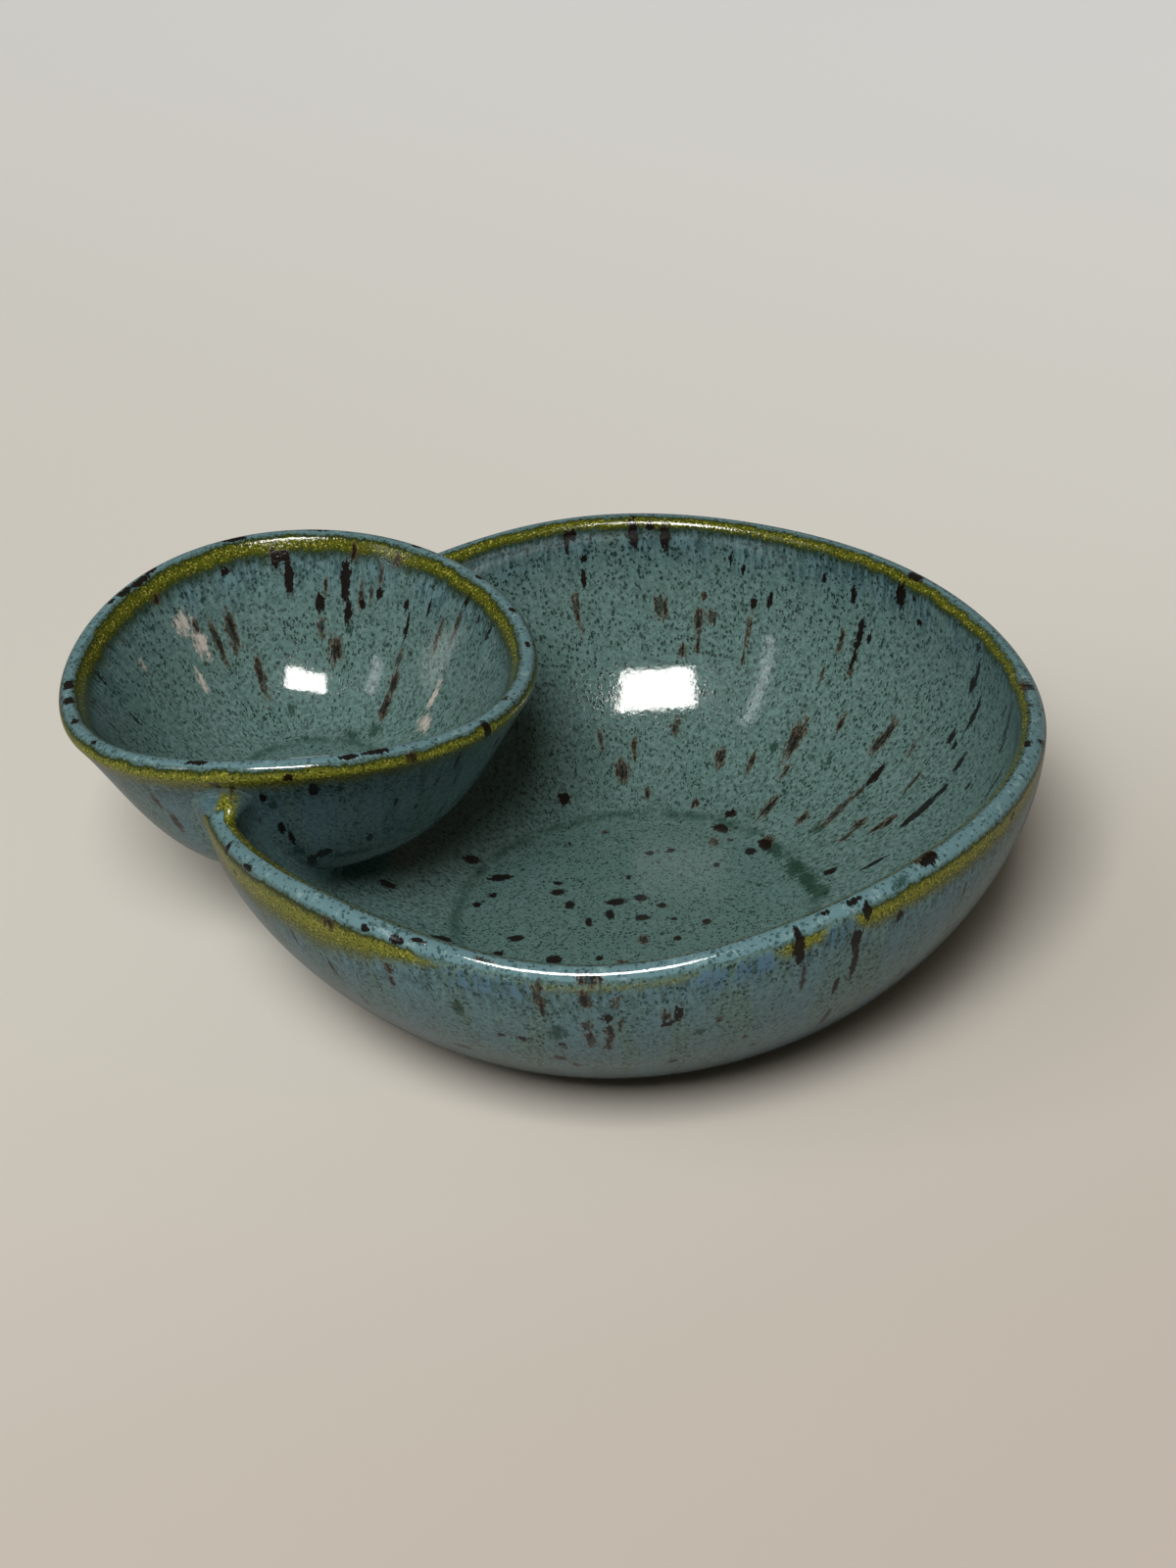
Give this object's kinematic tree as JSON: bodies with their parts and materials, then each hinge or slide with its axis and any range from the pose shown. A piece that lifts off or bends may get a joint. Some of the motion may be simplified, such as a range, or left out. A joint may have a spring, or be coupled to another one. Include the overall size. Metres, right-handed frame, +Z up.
{
  "type": "olive dish",
  "caption": "Glazed stoneware olive dish with a small pit bowl luted into a notch in its wall, on a bare foot ring.",
  "frame": {"origin": "on the table under the middle of the outer box", "axes": "+X from the pit bowl toward the dish along the line of their axes, +Z up"},
  "size_m": [0.1932, 0.1612, 0.062],
  "materials": {
    "dish_glaze": "glossy speckled teal glaze",
    "pit_bowl_glaze": "glossy speckled teal glaze",
    "coil_glaze": "glossy speckled teal glaze, pooled",
    "bare_stoneware": "matte unglazed stoneware"
  },
  "bodies": {
    "root": {"main_bowl": "dish_glaze", "side_bowl": "pit_bowl_glaze", "luting_coil": "coil_glaze", "foot_ring": "bare_stoneware"}
  },
  "joints": []
}
